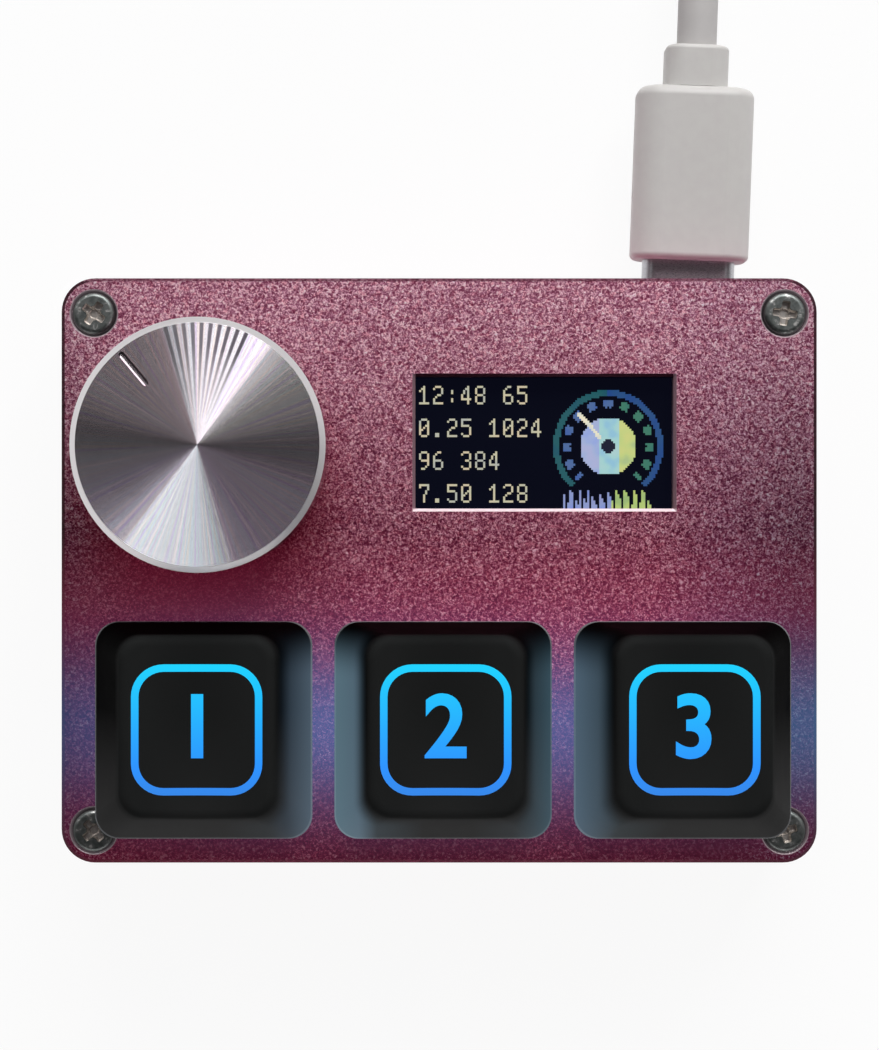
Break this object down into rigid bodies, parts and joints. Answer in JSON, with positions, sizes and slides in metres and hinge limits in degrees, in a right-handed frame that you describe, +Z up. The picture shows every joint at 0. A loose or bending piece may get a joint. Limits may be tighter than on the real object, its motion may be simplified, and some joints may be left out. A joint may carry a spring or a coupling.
{
  "type": "macro keypad",
  "caption": "Small desktop macro keypad: sprung keys in a row, a rotary push knob, a small display and a USB lead.",
  "frame": {"origin": "on the table under the middle of the case", "axes": "+X to the user's right along the row of keys, +Y to the back where the USB lead plugs in, +Z up"},
  "size_m": [0.0661, 0.143, 0.0295],
  "materials": {
    "anodised_plate": "bead-blasted and anodised pink",
    "anodised_case": "bead-blasted and anodised pink",
    "screw_steel": "black oxide",
    "foot_rubber": "matt",
    "board_laminate": "solder mask over glass laminate",
    "chip_resin": "moulded resin",
    "light_package": "clear resin in a white frame",
    "bare_steel": "stamped and plated",
    "bushing_brass": "turned, nickel plated",
    "switch_plastic": "moulded nylon",
    "cover_plastic": "smoky clear polycarbonate",
    "stem_plastic": "moulded acetal",
    "magnet_metal": "nickel plated",
    "keycap_plastic": "fine satin texture",
    "knob_metal": "turned, dark anodised with a bright chamfer",
    "screen_glass": "polished",
    "white_plastic": "moulded",
    "black_foam": "closed-cell foam",
    "flex_film": "polyimide film",
    "plug_plastic": "soft-touch moulding",
    "cord_jacket": "matt jacket",
    "tie_strap": "hook-and-loop strap"
  },
  "bodies": {
    "case": {"top_plate": "anodised_plate", "bottom_case": "anodised_case", "case_screws": "screw_steel", "rubber_feet": "foot_rubber", "circuit_board": "board_laminate", "board_screws": "bare_steel", "controller_chip": "chip_resin", "board_components": "chip_resin", "key_sensors": "chip_resin", "key_lights": "light_package", "usb_socket_shell": "bare_steel", "usb_socket_tongue": "chip_resin", "encoder_base": "switch_plastic", "encoder_cover": "bare_steel", "encoder_bushing": "bushing_brass", "encoder_dome": "bare_steel", "display_gasket": "black_foam", "display_glass": "screen_glass", "display_backlight": "white_plastic", "display_pad": "black_foam", "display_flex": "flex_film", "flex_connector": "white_plastic", "plug_shell": "bare_steel", "plug_body": "plug_plastic", "plug_collar": "plug_plastic", "cord_lead": "cord_jacket", "cord_coil": "cord_jacket", "cord_tail": "cord_jacket", "coil_tie": "tie_strap", "far_plug_body": "plug_plastic", "far_plug_shell": "bare_steel", "far_plug_tongue": "white_plastic", "switch_base_1": "switch_plastic", "switch_cover_1": "cover_plastic", "switch_spring_1": "bare_steel", "switch_base_2": "switch_plastic", "switch_cover_2": "cover_plastic", "switch_spring_2": "bare_steel", "switch_base_3": "switch_plastic", "switch_cover_3": "cover_plastic", "switch_spring_3": "bare_steel"},
    "key_1": {"switch_stem_1": "stem_plastic", "switch_magnet_1": "magnet_metal", "keycap_1": "keycap_plastic"},
    "key_2": {"switch_stem_2": "stem_plastic", "switch_magnet_2": "magnet_metal", "keycap_2": "keycap_plastic"},
    "key_3": {"switch_stem_3": "stem_plastic", "switch_magnet_3": "magnet_metal", "keycap_3": "keycap_plastic"},
    "dial_rotor": {"encoder_rotor": "white_plastic"},
    "dial": {"encoder_shaft": "bare_steel", "knob": "knob_metal", "knob_set_screw": "screw_steel"}
  },
  "joints": [
    {"name": "key_1_press", "type": "slide", "parent": "case", "child": "key_1", "axis": [0, 0, -1], "range_m": [0, 0.004], "stiffness_N_per_m": 75, "springref_m": -0.004, "deforming": ["switch_spring_1"]},
    {"name": "key_2_press", "type": "slide", "parent": "case", "child": "key_2", "axis": [0, 0, -1], "range_m": [0, 0.004], "stiffness_N_per_m": 75, "springref_m": -0.004, "deforming": ["switch_spring_2"]},
    {"name": "key_3_press", "type": "slide", "parent": "case", "child": "key_3", "axis": [0, 0, -1], "range_m": [0, 0.004], "stiffness_N_per_m": 75, "springref_m": -0.004, "deforming": ["switch_spring_3"]},
    {"name": "dial_turn", "type": "hinge", "parent": "case", "child": "dial_rotor", "pos_m": [-0.01985, 0.0104, 0.0145], "axis": [0, 0, 1], "continuous": true},
    {"name": "dial_press", "type": "slide", "parent": "dial_rotor", "child": "dial", "axis": [0, 0, -1], "range_m": [0, 0.0005], "stiffness_N_per_m": 1000, "springref_m": -0.001, "deforming": ["encoder_dome"]}
  ]
}
